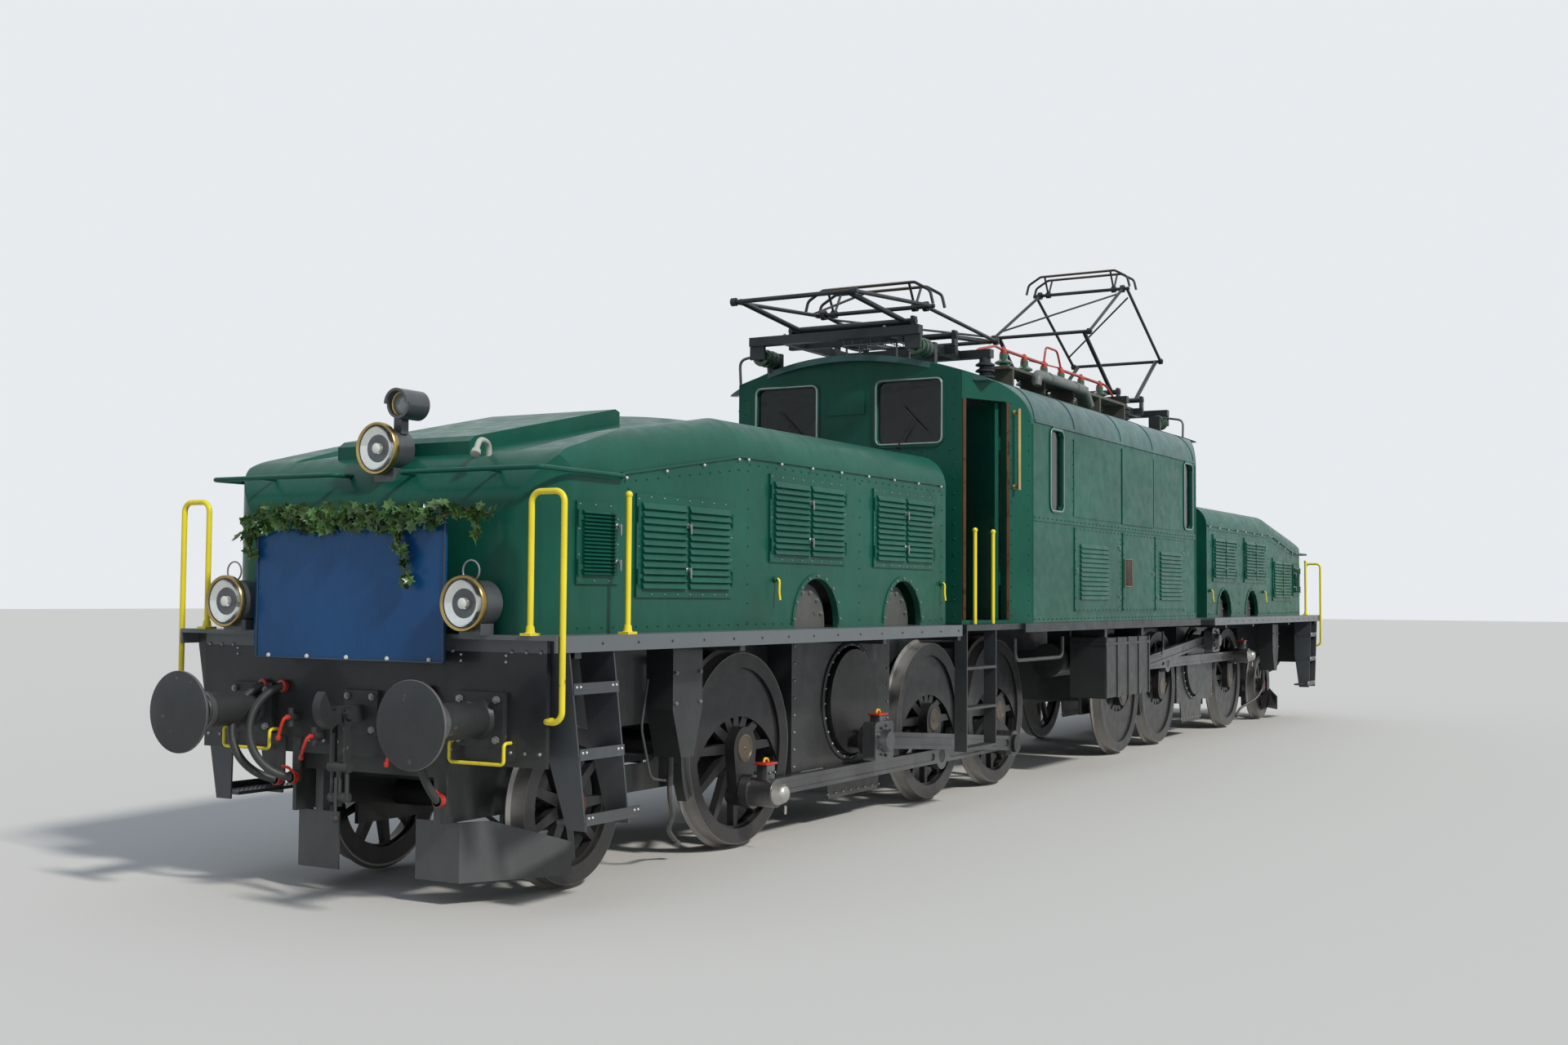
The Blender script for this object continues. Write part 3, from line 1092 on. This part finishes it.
# Brass rails, posts and ladders at the cab doors: polished brass tube on cast
# feet, yellow posts, and grey steel ladders hung from the sill. The cab's desks
# and walls behind them are in cream paint.
brass = finish("brass", (0.50, 0.40, 0.17), 0.26, metal=0.9, vary=0.25)
dress(brass, "cab_handrails")
post_paint = finish("post_paint", (0.034, 0.040, 0.044), 0.42, coat=0.15, dust=0.4,
                    dust_high=1.2, above=(1.552, yellow))
dress(post_paint, "cab_posts")
cream_paint = finish("cream_paint", (0.28, 0.27, 0.22), 0.5, vary=0.2)
dress(cream_paint, "cab_fittings")
feet = bmesh.new()
rail_low, rail_high = (corner[2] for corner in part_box("cab_handrails"))
wall_length, grip_back = 0.8256, 0.205
for at, along, inward in door_walls:
    for z in (rail_low + 0.030, rail_high - 0.030):
        centre = at + along * (wall_length - grip_back) - inward * 0.003 + Vector((0, 0, z))
        lathe(feet, ((0.0, 0.028), (0.008, 0.026), (0.018, 0.016), (0.040, 0.013), (0.040, 0.0)),
              centre, -inward, 16)
piece("handrail_feet", forge(feet), brass, "body")

# Air pipes under the body: drawn steel pipe in the frame's dark grey, hung from
# the floor beside the battery box and the air tank.
bm = bmesh.new()
for side in (-1, 1):
    for y, x0, x1, low, radius in (
        (1.20, -2.35, -1.10, 1.20, 0.018), (1.18, 1.20, 2.30, 1.12, 0.014),
    ):
        tube(bm, bent([(x0, side * y, 1.40), (x0, side * y, low), (x1, side * y, low),
                       (x1, side * y, 1.40)], 0.10), radius, 10)
piece("air_pipes", forge(bm), pipe_grey, "body")

# Roof: the same green sheet gone dull and blue with weather, with two grey
# ventilation ducts along its near shoulder. A basket of bent wire and a looped
# pipe stand over each cab.
roof_paint = finish("roof_paint", (0.030, 0.105, 0.100), 0.38, coat=0.10, vary=0.3, wave=0.004)
dress(roof_paint, "roof")
duct_paint = finish("duct_paint", (0.17, 0.19, 0.18), 0.5, metal=0.2, vary=0.3)
bm = bmesh.new()
for y, z, shift in ((-1.000, 3.985, 0.0), (-1.100, 3.930, -0.22)):
    tube(bm, bent([(-1.30 + shift, y, z - 0.10), (-1.28 + shift, y, z), (0.10 + shift, y, z),
                   (0.24 + shift, y, z - 0.14)], 0.10), 0.042, 16)
    for x in (-0.95, -0.20):
        lathe(bm, ((-0.012, 0.047), (0.012, 0.047)), (x + shift, y, z), (1, 0, 0), 20)
piece("roof_ducts", forge(bm), duct_paint, "body")
wire_grey = finish("wire_grey", (0.12, 0.13, 0.13), 0.45, metal=0.5)
basket_x, basket_y = (-3.42, -3.12), (-0.54, 0.04)
wires = []
for z, grow in ((4.030, 0.0), (4.150, 0.02)):
    x0, x1 = basket_x[0] - grow, basket_x[1] + grow
    y0, y1 = basket_y[0] - grow, basket_y[1] + grow
    loop = [(x, y, z) for x, y in ((x0, y0), (x0, y1), (x1, y1), (x1, y0), (x0, y0))]
    wires.append((bent(loop, 0.03, 3), 0.008, 8))
for k in range(7):
    y = -0.52 + 0.09 * k
    wires.append((bent([(-3.44, y, 4.150), (-3.42, y, 4.030), (-3.12, y, 4.030),
                        (-3.10, y, 4.150)], 0.02, 3), 0.004, 6))
wires += [(((x, y, 3.88), (x, y, 4.032)), 0.010, 8) for x in (-3.40, -3.14) for y in (-0.50, 0.0)]
wires.append((bent([(-3.42, 0.80, 3.84), (-3.44, 0.80, 4.02), (-3.44, 1.10, 3.97),
                    (-3.42, 1.10, 3.74)], 0.07, 5), 0.013, 10))
bm = bmesh.new()
for flip in (1, -1):
    for path, radius, sides in wires:
        tube(bm, [(flip * x, flip * y, z) for x, y, z in path], radius, sides)
piece("roof_baskets", forge(bm), wire_grey, "body")

# Busbars and insulators: bare copper bars painted signal red, clamped to green
# glazed porcelain. Red blade switches and rods tie the two pantographs together.
bus_paint = finish("bus_red", (0.42, 0.045, 0.03), 0.4, coat=0.2, vary=0.2)
dress(bus_paint, "roof_busbars")
glaze = finish("insulator_glaze", (0.022, 0.085, 0.040), 0.12, coat=0.9, vary=0.3)
dress(glaze, "roof_insulators")
dress(finish("board_wood", (0.115, 0.105, 0.092), 0.8, vary=0.35, grain=0.0015), "roof_boards")
bus_y, bus_z = -0.580, 4.268
caps_x = (-1.10, -0.53, 0.04, 0.56, 1.20, 1.84)
bm = bmesh.new()
for x in caps_x:
    lathe(bm, ((-0.050, 0.036), (-0.022, 0.036), (-0.014, 0.026), (0.026, 0.020), (0.034, 0.0)),
          (x, bus_y, bus_z), (0, 0, 1), 20)
tube(bm, bent([(0.04, bus_y, 4.28), (0.10, bus_y, 4.46), (0.44, bus_y, 4.46),
               (0.56, bus_y, 4.28)], 0.06), 0.012, 10)
tube(bm, bent([(0.04, bus_y, 4.285), (0.30, -0.30, 4.36), (0.56, bus_y, 4.285)], 0.05), 0.009, 8)
for way, start, turning in ((-1, -1.16, -1.42), (1, 1.84, 1.93)):
    tube(bm, bent([(start, bus_y, bus_z), (turning, -0.62, 4.262), (way * 1.98, -0.68, 4.15),
                   (way * 2.05, -0.68, 4.105)], 0.06), 0.013, 10)
piece("red_links", forge(bm), bus_paint, "body")

# Pantographs: diamond frames of drawn steel tube in dark grey, springs between
# the base rails, and green glazed insulators lying under the cab ends. Two worn
# collector strips run along each head.
dark_steel = finish("dark_steel", (0.040, 0.046, 0.050), 0.42, metal=0.4, grain=0.0004, vary=0.3)
for end in ends:
    dress(dark_steel, *(f"{end}_{name}" for name in (
        "pantograph_base", "lower_arm_outer", "lower_arm_inner",
        "upper_arm_outer", "upper_arm_inner", "pantograph_head")))
strip_metal = finish("strip_metal", (0.30, 0.22, 0.16), 0.35, metal=0.8, vary=0.3)
apex_x, insulator_z, base_top = 2.850, 3.958, 4.128
for end, way in zip(ends, (-1, 1)):
    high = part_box(f"{end}_pantograph_head")[1][2]
    bm = bmesh.new()
    for x in (way * apex_x - 0.130, way * apex_x + 0.130):
        block(bm, (x - 0.016, -0.460, high - 0.012), (x + 0.016, 0.460, high - 0.001), 0.003)
    piece(f"{end}_collector_strips", forge(bm), strip_metal,
          f"{end}_pantograph_head")
    bm = bmesh.new()
    for y in (-0.780, 0.780):
        for k in range(3):
            lathe(bm, ((-0.020, 0.050), (-0.016, 0.078), (-0.004, 0.084), (0.012, 0.080),
                       (0.020, 0.050)),
                  (way * (3.382 + 0.085 * (k + 0.5)), y, insulator_z), (way, 0, 0), 24)
        lathe(bm, ((0.0, 0.049), (0.26, 0.049)), (way * 3.360, y, insulator_z), (way, 0, 0), 20)
    piece(f"{end}_base_insulators", forge(bm), glaze, "body")
    rows = [[(way * x, y, base_top), (way * x, y + 0.001, base_top)]
            for x in (2.05, 3.65) for y in (-0.5, 0.5)]
    piece(f"{end}_base_nuts",
          fasteners(nut_rows, rows, 0.1, 0.018, bolt_steel, 0.02, (0.0, 0.0, 0.0)),
          bolt_steel, "body")

# Windows: flat clear glass held in the beads of the end walls and the sides,
# with the dark cab behind it.
dress(clear_glass("pane", (0.55, 0.62, 0.62, 1.0), 0.02, 1.3), "window_glass")
